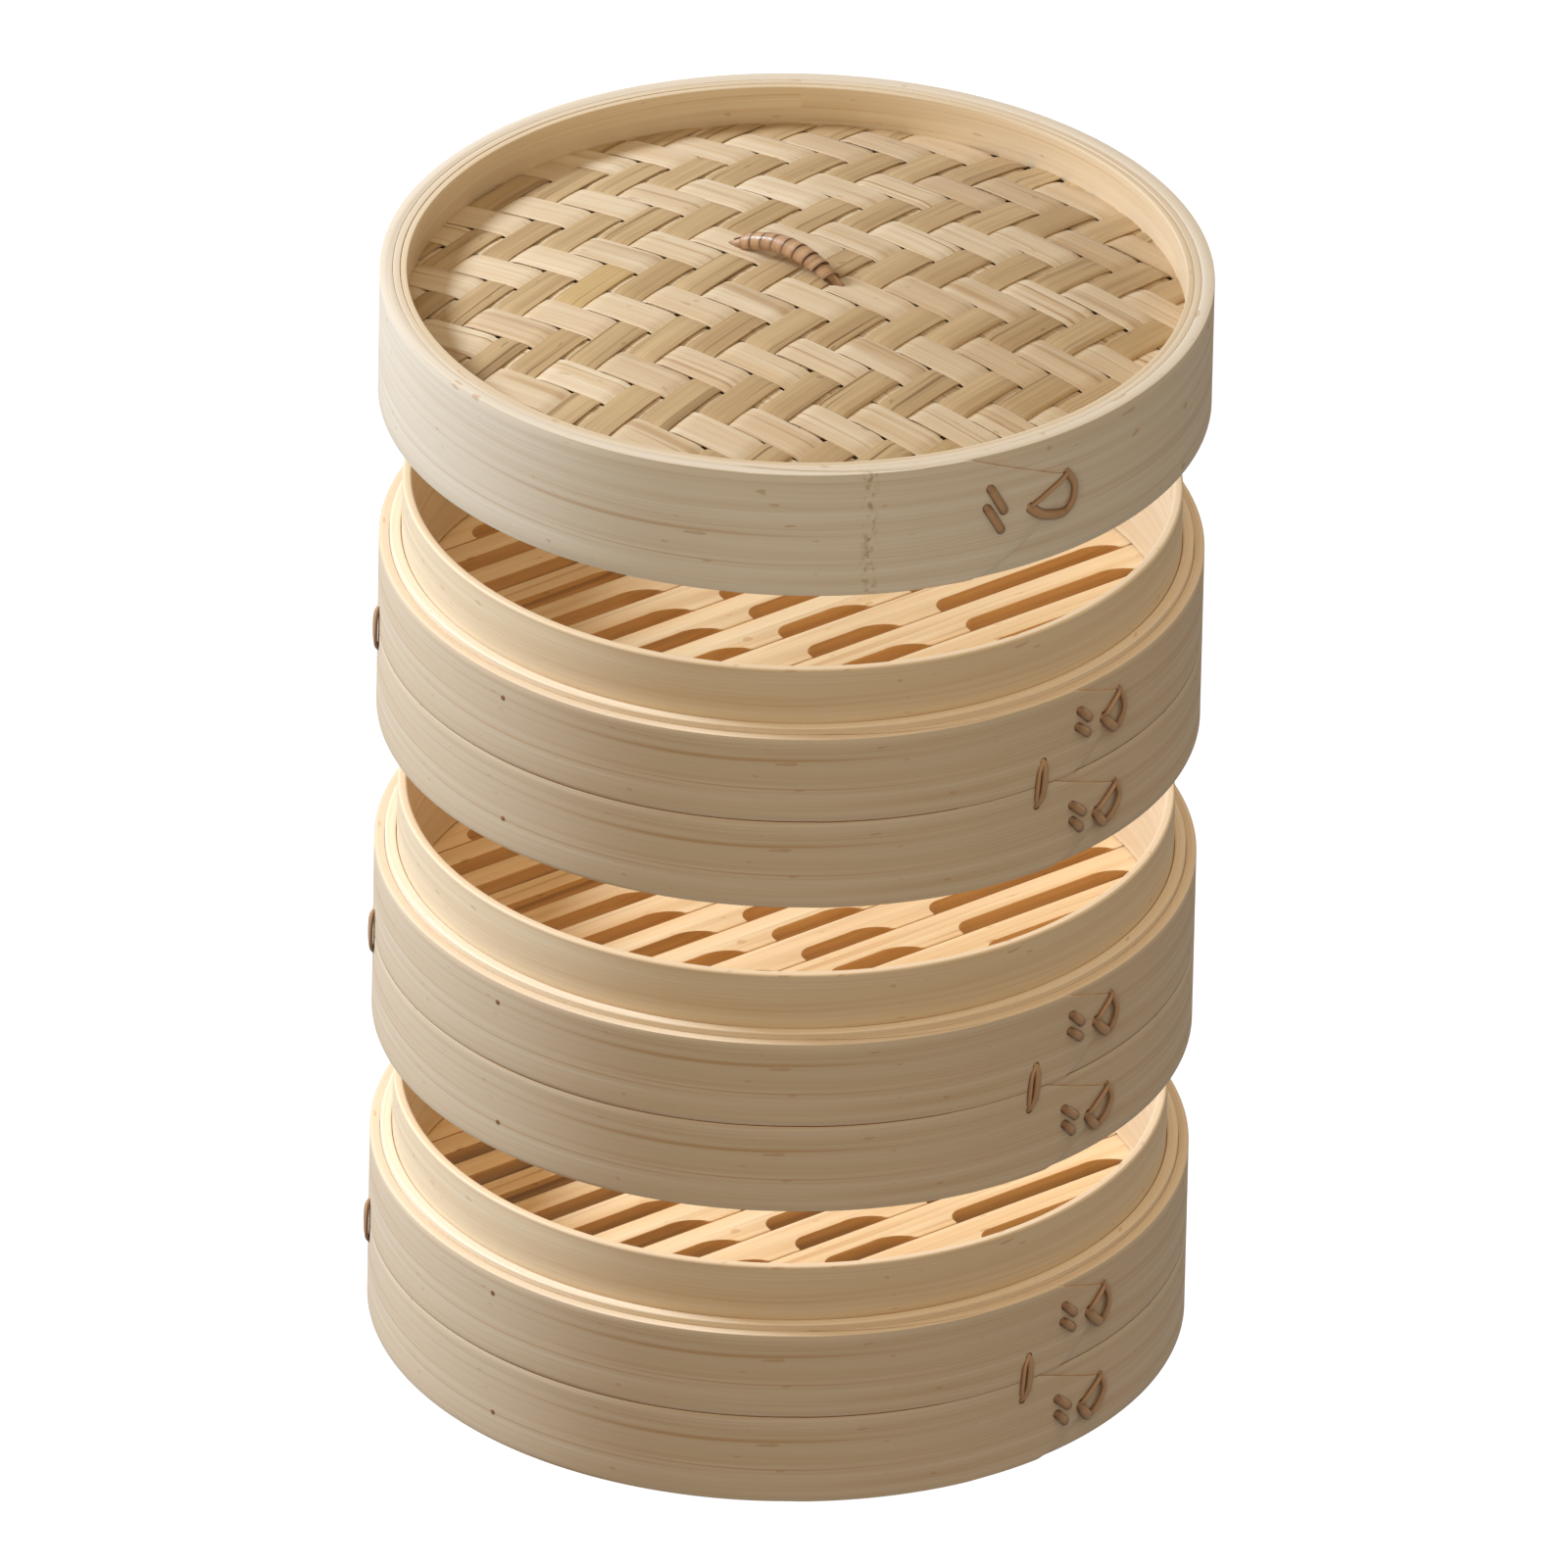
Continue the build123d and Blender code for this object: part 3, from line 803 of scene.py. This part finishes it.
def bamboo_pin(angle, z):
    """A whittled pin, driven in and cut off just proud of the band."""
    deselect()
    bpy.ops.mesh.primitive_cylinder_add(vertices=20, radius=0.85 * MM, depth=3.4 * MM,
                                        location=around(angle, BAND_R - 1.55 * MM, z * MM),
                                        rotation=(math.pi / 2, 0, math.radians(angle)))
    pin = bpy.context.object
    bpy.ops.object.transform_apply(location=True, rotation=True, scale=True)
    apply_modifier(pin, "BEVEL", width=0.2 * MM, segments=3, limit_method="ANGLE",
                   angle_limit=math.radians(50))
    lay_grain(pin, lambda place: (place.z, place.x + place.y))
    soft_edges(pin)
    return pin


finish(join([bamboo_pin(*pin) for pin in PINS], "pins"), pin_finish, "pin_bamboo", ("whittled_pins", "pins"))
print("rattan runs per tier:", len(UPPER_RATTAN) + len(LOWER_RATTAN) + len(TIES))

# %% [markdown]
# ## The floor
# The slats are split bamboo laid edge to edge, with a steam notch sawn and pared into one edge of each. The
# frame already gives their outlines, so a copy of each group is merged into clean faces and its sharp edges
# are eased. The pared walls show the darker inner fibre, and they stand in the notches and between the slats,
# so upright faces take a second, darker finish that is partly that fibre and partly painted shade.

# %% Easing the slats and bars
SLAT_TURN = math.radians(38)
SLAT_PITCH = 15 * MM
FIRST_JOINT = -113.3 * MM
SLAT_GROUPS = ("front", "front_middle", "middle", "back_middle", "back")
SLAT_SINK = 0.9 * MM    # how far the slats are let into the bars
slat_middle = sum(corner.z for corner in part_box("bottom_tier_slats_middle")) / 2


def eased_copy(node, name, edge):
    """A copy of a plain solid, merged, with its edges rounded."""
    deselect()
    piece = bpy.data.objects.new(name, frame["nodes"][node].data.copy())
    bpy.context.scene.collection.objects.link(piece)
    take(piece)
    if piece.data.has_custom_normals:
        bpy.ops.mesh.customdata_custom_splitnormals_clear()
    bpy.ops.object.mode_set(mode="EDIT")
    bpy.ops.mesh.select_all(action="SELECT")
    bpy.ops.mesh.remove_doubles(threshold=0.005 * MM)
    bpy.ops.mesh.dissolve_limited(angle_limit=math.radians(1.5))
    bpy.ops.mesh.normals_make_consistent(inside=False)
    bpy.ops.object.mode_set(mode="OBJECT")
    apply_modifier(piece, "BEVEL", width=edge, segments=2, limit_method="ANGLE", angle_limit=math.radians(40))
    return piece


def along_slats(place):
    """A place as (along, across) the slats."""
    return (place.x * math.cos(SLAT_TURN) + place.y * math.sin(SLAT_TURN),
            -place.x * math.sin(SLAT_TURN) + place.y * math.cos(SLAT_TURN))


def slat_grain(place):
    along, across = along_slats(place)
    index = math.floor((across - FIRST_JOINT) / SLAT_PITCH)
    return along + 1.37 * index, across + place.z + 0.41 * index


for group in SLAT_GROUPS:
    slats = eased_copy(f"bottom_tier_slats_{group}", f"floor_{group}", 0.45 * MM)
    reshape(slats, lambda place: place - Vector((0, 0, SLAT_SINK if place.z < slat_middle else 0.0)))
    lay_grain(slats, slat_grain)
    slats.data.materials.clear()
    slats.data.materials.append(slat_finish)
    slats.data.materials.append(cut_fibre_and_shade_finish)
    for face in slats.data.polygons:
        # Upright faces, the notch walls and the slats' sides, take the darker finish: inner fibre and painted
        # shade.
        face.material_index = 1 if abs(face.normal.z) < 0.4 else 0
    soft_edges(slats, 30)
    finish(slats, None, "slat_bamboo", (f"floor_{group}", f"slats_{group}"))

for side in ("left", "right"):
    bar = eased_copy(f"bottom_tier_cross_bar_{side}", f"bar_{side}", 0.6 * MM)
    lay_grain(bar, lambda place: (along_slats(place)[1], along_slats(place)[0] + place.z))
    soft_edges(bar, 30)
    finish(bar, bar_finish, "bar_bamboo", (f"bar_{side}", f"cross_bar_{side}"))
print("floor groups:", len(SLAT_GROUPS), "and two bars, on each tier")

# %% [markdown]
# ## The lid's weave
# Two families of thin strips cross in a twill: each goes over two and under two, and its neighbour is
# shifted by one. The whole sheet is sprung into the lid as a shallow dome. A strip is flat stock again,
# with enough cuts along it to rise and fall at every crossing. Its tone is written float by float, so that
# neighbours differ. The light strips are also made darker on the lid's right-hand side, as painted shade.

# %% The dome and the twill rule
WEAVE_R = 123.4 * MM
RIM_IN = 119.6 * MM
DOME_TOP = lid_height - 2.0 * MM
DOME_R = (RIM_IN ** 2 + (11 * MM) ** 2) / (22 * MM)
PITCH = 13 * MM
LIGHT_TURN = math.radians(-38)
LIGHT_FIRST = 6.5 * MM
DARK_FIRST = 3.5 * MM
LIGHT_WIDTH, DARK_WIDTH = 12.5 * MM, 11.0 * MM
RISE = 0.46 * MM
STRIP_THICK = 0.55 * MM
ALONG_LIGHT = Vector((math.cos(LIGHT_TURN), math.sin(LIGHT_TURN), 0))
ALONG_DARK = Vector((-math.sin(LIGHT_TURN), math.cos(LIGHT_TURN), 0))
DIVE = 0.42              # the share of a pitch in which a strip goes from over to under
WEAVE_STEP = 1.5 * MM


def light_is_over(dark_index, light_index):
    """The twill rule: two over, two under, one further for every strip."""
    return (dark_index - light_index) % 4 in (1, 2)


def dome(x, y):
    """Height of the middle of the weave above the lid's base."""
    return DOME_TOP - 1.0 * MM - (x * x + y * y) / (2 * DOME_R)


def ride_height(position, first, over):
    """How far a strip is above the mid-sheet at a position along it, from -1 to 1."""
    s = (position - first) / PITCH
    k = math.floor(s)
    here, there = (1 if over(k) else -1), (1 if over(k + 1) else -1)
    return here + (there - here) * eased((s - k - 0.5) / DIVE + 0.5)


def float_number(position, first, over):
    """Counts the floats along a strip. The count changes where the strip is hidden."""
    k = math.floor((position - first) / PITCH + 0.5)
    if over(k):
        return k if over(k + 1) else k - 1
    return k - 2 if over(k - 1) else k + 1


# %% Weaving one family
random.seed(38)


def weave_family(name, along, across, centre_first, cross_first, width, over_at, tones_and_shade):
    """Every strip of one family, joined into one sheet of loose strips."""
    strips = []
    reach = int(WEAVE_R / PITCH) + 1
    for index in range(-reach, reach + 1):
        centre = centre_first + PITCH * index
        if abs(centre) > WEAVE_R - 5 * MM:
            continue
        half = math.sqrt(WEAVE_R ** 2 - max(abs(centre) - width / 2, 0.0) ** 2)
        strip_width = width * random.uniform(0.965, 1.01)
        slip = random.uniform(-0.22, 0.22) * MM
        lean = random.uniform(-0.0035, 0.0035)
        curl = random.uniform(0.16, 0.34) * MM
        twist = random.uniform(-0.10, 0.10) * MM
        base_tone = random.random()
        rosy = random.random()
        strip = flat_strip(f"{name}_{index}", 2 * half, strip_width, STRIP_THICK, int(2 * half / WEAVE_STEP),
                           6, 0.12 * MM, 1)
        shift = index * 0.613 + (7.0 if name.endswith("dark") else 0.0)
        lay_grain(strip, lambda place: (place.x + shift, place.y + place.z + shift * 0.37))
        wanted = {}
        stain_and_shade = strip.data.color_attributes.new("stain_and_shade", "FLOAT_COLOR", "POINT")

        def over(crossing):
            return over_at(index, crossing)

        for number, vertex in enumerate(strip.data.vertices):
            x, y, z = vertex.co
            side = y - strip_width / 2
            b = centre + slip + side
            end = math.sqrt(max(WEAVE_R ** 2 - b * b, 0.0))
            a = (x / half - 1) * end
            b += lean * a
            run = float_number(a, cross_first, over)
            if run not in wanted:
                wanted[run] = tones_and_shade(random, base_tone, rosy, a, b)
            stain_and_shade.data[number].color = (*wanted[run], 1.0)
            share = 2 * side / strip_width
            height = RISE * ride_height(a, cross_first, over)
            height += curl * (1 - share * share) - curl * 0.6 + twist * share
            flat = along * a + across * b
            vertex.co = Vector((flat.x, flat.y, dome(flat.x, flat.y) + height + z - STRIP_THICK / 2))
        strips.append(strip)
    sheet = join(strips, name)
    soft_edges(sheet, 40)
    return sheet


# Spots where a strip is plainly golden or rosy, as (x, y) in mm and the size of the spot.
GOLDEN_SPOTS = ((-28, 35, 9), (-88, -18, 9), (-52, -2, 9))
ROSY_SPOTS = ((35, -15, 10), (70, -45, 10), (-10, -8, 8))


def near_spot(spots, x, y):
    return any(math.hypot(x / MM - sx, y / MM - sy) < size for sx, sy, size in spots)


def light_tones_and_shade(chance, base, rosy, a, b):
    place = ALONG_LIGHT * a + ALONG_DARK * b
    # The last term darkens the light strips on the right-hand side of the lid: painted shade.
    dark = 0.03 + 0.42 * base * chance.random() + (0.12 if place.x > 0.02 else 0.0)
    rose = 0.75 if near_spot(ROSY_SPOTS, place.x, place.y) else max(0.0, rosy - 0.62) * chance.random() * 0.9
    return dark, rose, 0.0


def dark_tones(chance, base, rosy, a, b):
    place = ALONG_DARK * a + ALONG_LIGHT * b
    gold = 0.42 if near_spot(GOLDEN_SPOTS, place.x, place.y) else max(0.0, rosy - 0.75) * chance.random()
    return 0.03 + 0.48 * base * chance.random(), 0.0, gold


light_sheet = weave_family("weave_light", ALONG_LIGHT, ALONG_DARK, LIGHT_FIRST, DARK_FIRST, LIGHT_WIDTH,
                           lambda own, crossing: light_is_over(crossing, own), light_tones_and_shade)
dark_sheet = weave_family("weave_dark", ALONG_DARK, ALONG_LIGHT, DARK_FIRST, LIGHT_FIRST, DARK_WIDTH,
                          lambda own, crossing: not light_is_over(own, crossing), dark_tones)


def inner_ply(lowered, overlap):
    """A second layer of flat strips, edge over edge, that closes the weave from below. Its dark finish is
    painted shade, seen through the weave's slits.
    """
    strips = []
    reach = int(WEAVE_R / PITCH) + 1
    for index in range(-reach, reach + 1):
        centre = DARK_FIRST + PITCH * index
        if abs(centre) > WEAVE_R - 5 * MM:
            continue
        half = math.sqrt(WEAVE_R ** 2 - max(abs(centre) - PITCH / 2, 0.0) ** 2)
        width = PITCH + overlap
        strip = flat_strip(f"ply_{index}", 2 * half, width, 0.5 * MM, 40, 4, 0.1 * MM, 1)
        lay_grain(strip, lambda place: (place.x + index * 0.51, place.y + place.z + index * 0.29))

        def settle(place):
            side = place.y - width / 2
            b = centre + side
            a = (place.x / half - 1) * math.sqrt(max(WEAVE_R ** 2 - b * b, 0.0))
            flat = ALONG_DARK * a + ALONG_LIGHT * b
            tilt = side / width * 0.7 * MM
            return Vector((flat.x, flat.y, dome(flat.x, flat.y) - lowered + tilt + place.z))

        reshape(strip, settle)
        strips.append(strip)
    ply = join(strips, "lid_inner_ply_shade")
    soft_edges(ply, 40)
    return ply


PLY_LOWERED, PLY_OVERLAP = 2.1 * MM, 1.2 * MM
ply = inner_ply(PLY_LOWERED, PLY_OVERLAP)
print("weave faces:", len(light_sheet.data.polygons), len(dark_sheet.data.polygons))

# %% [markdown]
# ## The lid's hoops and handle
# The rim is three hoops, one inside another, and the weave's edge is clamped between them and the skirt.
# The handle is a short bowed rod of rattan whose feet go through the weave, wound with a wide peel that
# puffs up at every turn. It is thickest in the middle and thin at the feet, so the winding's radius follows
# a sine.

# %% Lid hoops
RIM_REACH = 1.6 * MM       # the rim presses this far into the weave's edge
rim_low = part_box("lid_rim_hoop")[0].z - lid_z - RIM_REACH
skirt_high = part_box("lid_skirt_hoop")[1].z - lid_z
lid_rim = turned_hoop("lid_rim", RIM_IN, RIM_IN + 2.14 * MM, rim_low, lid_height - 0.3 * MM, 0.3 * MM)
lid_packing = turned_hoop("lid_packing", RIM_IN + 2.16 * MM, LID_R - LID_THICK - 0.04 * MM, rim_low,
                          lid_height - 0.1 * MM, 0.2 * MM)
lid_skirt = turned_hoop("lid_skirt", SKIRT_IN, LID_R - LID_THICK - 0.1 * MM, 0.0, skirt_high, 0.6 * MM)

# %% Handle core and winding
HANDLE_AT = Vector((-3.0, 9.5, 0)) * MM
HANDLE_HALF = 20 * MM
HANDLE_RISE = 6.2 * MM
CORE_THICK = 2.6 * MM
HANDLE_FOOT = DOME_TOP - HANDLE_AT.length_squared / (2 * DOME_R)


def handle_axis(s):
    """The bowed axis, for s from -1 at the left foot to 1 at the right one."""
    height = HANDLE_FOOT + HANDLE_RISE * (1 - s * s) - 0.6 * MM
    return HANDLE_AT + ALONG_LIGHT * HANDLE_HALF * s + Vector((0, 0, height))


core_path = [handle_axis(-1.16 + 2.32 * n / 40) for n in range(41)]
core_sides = [ALONG_DARK.copy() for _ in core_path]
core_low = [place - Vector((0, 0, CORE_THICK / 2)) for place in core_path]
handle_core = peel("handle_core", core_low, core_sides, 3.6 * MM, CORE_THICK, belly=0.35)

COILS = 8.7
COIL_SAMPLES = 26
coil_path, coil_sides = [], []
for n in range(int(COILS * COIL_SAMPLES) + 1):
    turned = n / COIL_SAMPLES
    s = -0.93 + 1.86 * turned / COILS
    radius = (1.25 + 1.75 * math.cos(s * math.pi / 2) ** 0.45) * MM
    tangent = (handle_axis(s + 0.01) - handle_axis(s - 0.01)).normalized()
    up = ALONG_DARK.cross(tangent).normalized()
    up = up if up.z > 0 else -up
    spin = 2 * math.pi * turned
    outward = up * math.cos(spin) + ALONG_DARK * math.sin(spin)
    coil_path.append(handle_axis(s) + outward * radius)
    coil_sides.append(tangent)
handle_wrap = peel("handle_wrap", coil_path, coil_sides, 4.35 * MM, 1.35 * MM, belly=0.1)

# %% Place the lid
LID_PIECES = (
    (lid_band, None, "band_bamboo", "lid_outer_band"),
    (lid_rim, inner_finish, "inner_bamboo", "lid_rim_hoop"),
    (lid_packing, rim_finish, "rim_bamboo", "lid_packing_hoop"),
    (lid_skirt, inner_finish, "inner_bamboo", "lid_skirt_hoop"),
    (light_sheet, light_weave, "weave_light", "lid_weave_light_strips"),
    (dark_sheet, dark_weave, "weave_dark", "lid_weave_dark_strips"),
    (handle_core, rattan, "rattan", "lid_handle_core"),
    (handle_wrap, rattan, "rattan", "lid_handle_wrap"),
    (lid_lashing, rattan, "rattan", "lid_lashing"),
)
# The ply's dark brown finish is painted shade, so the weave's slits look dark.
ply_shade_finish = weave_bamboo("inner_ply_shade_bamboo", (0.40, 0.26, 0.12), (0.30, 0.18, 0.075), (0.16, 0.09, 0.03))
ply.data.materials.clear()
ply.data.materials.append(ply_shade_finish)
reshape(ply, lambda place: place + Vector((0, 0, lid_z)))
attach(ply, "lid")
for piece, material, slot_name, node in LID_PIECES:
    reshape(piece, lambda place: place + Vector((0, 0, lid_z)))
    finish(piece, material, slot_name, node=node, body="lid")
bpy.data.objects["weave_light"].name = "lid_weave_light"
bpy.data.objects["weave_dark"].name = "lid_weave_dark"
bpy.data.objects["handle_core"].name = "lid_handle_rod"
bpy.data.objects["handle_wrap"].name = "lid_handle_winding"
print("lid pieces:", len(LID_PIECES))

# %% [markdown]
# ## Light, floor and camera
# The steamer stands in a white studio. One soft light comes from the left and a little behind, so the
# right-hand inner walls glow and the left ones fall into warm shade. Each tier is shown as if it stood
# alone, so each has its own set of lights that neither shine on the others nor are shaded by them. The room
# itself is a dim warm white. The camera has a very long lens, so that all tiers look equally wide.

# %% Floor
deselect()
bpy.ops.mesh.primitive_plane_add(size=60, location=(0, 0, -0.0005))
ground = bpy.context.object
ground.name = "ground"
ground_finish = bpy.data.materials.new("pale_ground")
ground_finish.use_nodes = True
ground_shader = ground_finish.node_tree.nodes["Principled BSDF"]
ground_shader.inputs["Base Color"].default_value = (0.30, 0.295, 0.285, 1)
ground_shader.inputs["Roughness"].default_value = 0.9
ground_shader.inputs["Specular IOR Level"].default_value = 0.1
ground_shader.inputs["Emission Color"].default_value = (1, 1, 1, 1)
ground_shader.inputs["Emission Strength"].default_value = 0.88
ground.data.materials.append(ground_finish)
ground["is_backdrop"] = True

# A low rim, far out, ends the floor where a level view would look past it into the dark.
RIM_FAR, RIM_UP = 10.0, 0.45
deselect()
bpy.ops.mesh.primitive_cylinder_add(vertices=96, radius=RIM_FAR, depth=2 * RIM_UP, end_fill_type="NOTHING",
                                    location=(0, 0, 0))
floor_rim = bpy.context.object
floor_rim.name = "floor_rim"
floor_rim.data.materials.append(ground_finish)
floor_rim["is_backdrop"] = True

# %% Lights
MIDDLE = Vector((0, 0, 0.18))


def soft_box(name, direction, distance, size, power, colour, shines_on):
    """A round soft light that faces the middle of the stack and only lights and shades one group."""
    light = bpy.data.lights.new(name, "AREA")
    light.shape = "DISK"
    light.size = size
    light.energy = power
    light.color = colour
    box = bpy.data.objects.new(name, light)
    bpy.context.scene.collection.objects.link(box)
    box.location = MIDDLE + Vector(direction).normalized() * distance
    box.rotation_mode = "QUATERNION"
    box.rotation_quaternion = (MIDDLE - box.location).to_track_quat("-Z", "Y")
    box.light_linking.receiver_collection = shines_on
    box.light_linking.blocker_collection = shines_on


KEY = (-0.85, 0.25, 0.65)
FRONT_FILL = {    # power and colour of each body's light from the front
    "bottom_tier": (10, (1.0, 0.77, 0.53)),
    "middle_tier": (11.5, (1.0, 0.82, 0.61)),
    "top_tier": (13.5, (1.0, 0.87, 0.70)),
    "lid": (17, (1.0, 0.90, 0.76)),
}
TOP_POWER = {"bottom_tier": 17, "middle_tier": 16, "top_tier": 15, "lid": 3.5}
KEY_POWER = {"bottom_tier": 29, "middle_tier": 26, "top_tier": 24, "lid": 20.5, "ground": 23}
groups = {}
for body in (*TIERS, "lid"):
    groups[body] = bpy.data.collections.new(f"{body}_pieces")
    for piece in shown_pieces():
        if body_of(piece) == [body]:
            groups[body].objects.link(piece)
groups["ground"] = bpy.data.collections.new("ground_alone")
for stage in (ground, floor_rim):
    groups["ground"].objects.link(stage)
    stage.light_linking.receiver_collection = groups["ground"]
COOL, WARM, SOFT_WHITE = (0.90, 1.02, 1.22), (1.0, 0.86, 0.68), (1.0, 0.92, 0.84)
SIDE_POWER = 5
for name, group in groups.items():
    soft_box(f"key_{name}", KEY, 1.5, 0.42, KEY_POWER[name], COOL, group)
    if name != "ground":
        power, colour = FRONT_FILL[name]
        soft_box(f"front_{name}", (-0.2, -1.0, 0.45), 3.0, 1.8, power, colour, group)
        soft_box(f"top_{name}", (0.1, -0.1, 1.0), 2.2, 1.6, TOP_POWER[name], WARM, group)
        soft_box(f"side_{name}", (1.0, 0.75, 0.1), 3.0, 1.2, SIDE_POWER, SOFT_WHITE, group)

world = bpy.data.worlds.new("studio")
world.use_nodes = True
world.node_tree.nodes["Background"].inputs["Color"].default_value = (1.0, 0.83, 0.64, 1)
world.node_tree.nodes["Background"].inputs["Strength"].default_value = 0.42
bpy.context.scene.world = world
bpy.context.scene.view_settings.view_transform = "Standard"

# %% Camera
LENS = 945
STAND_OFF = 12.7
TILT = math.radians(29.43)
ROLL = math.radians(1.21)
AIM_RIGHT, AIM_UP = -0.77 * MM, 1.86 * MM
camera = bpy.data.objects.new("camera", bpy.data.cameras.new("camera"))
bpy.context.scene.collection.objects.link(camera)
camera.data.lens = LENS
camera.data.sensor_width = 36
camera.data.clip_end = 100
back = Vector((0, -math.cos(TILT), math.sin(TILT)))
aim_turn = (-back).to_track_quat("-Z", "Y")
right, up = aim_turn @ Vector((1, 0, 0)), aim_turn @ Vector((0, 1, 0))
aim = MIDDLE + right * AIM_RIGHT + up * AIM_UP
camera.location = aim + back * STAND_OFF
camera.rotation_euler = aim_turn.to_euler()
camera.rotation_euler.rotate_axis("Z", ROLL)
bpy.context.scene.camera = camera
print("camera at", [round(x, 3) for x in camera.location])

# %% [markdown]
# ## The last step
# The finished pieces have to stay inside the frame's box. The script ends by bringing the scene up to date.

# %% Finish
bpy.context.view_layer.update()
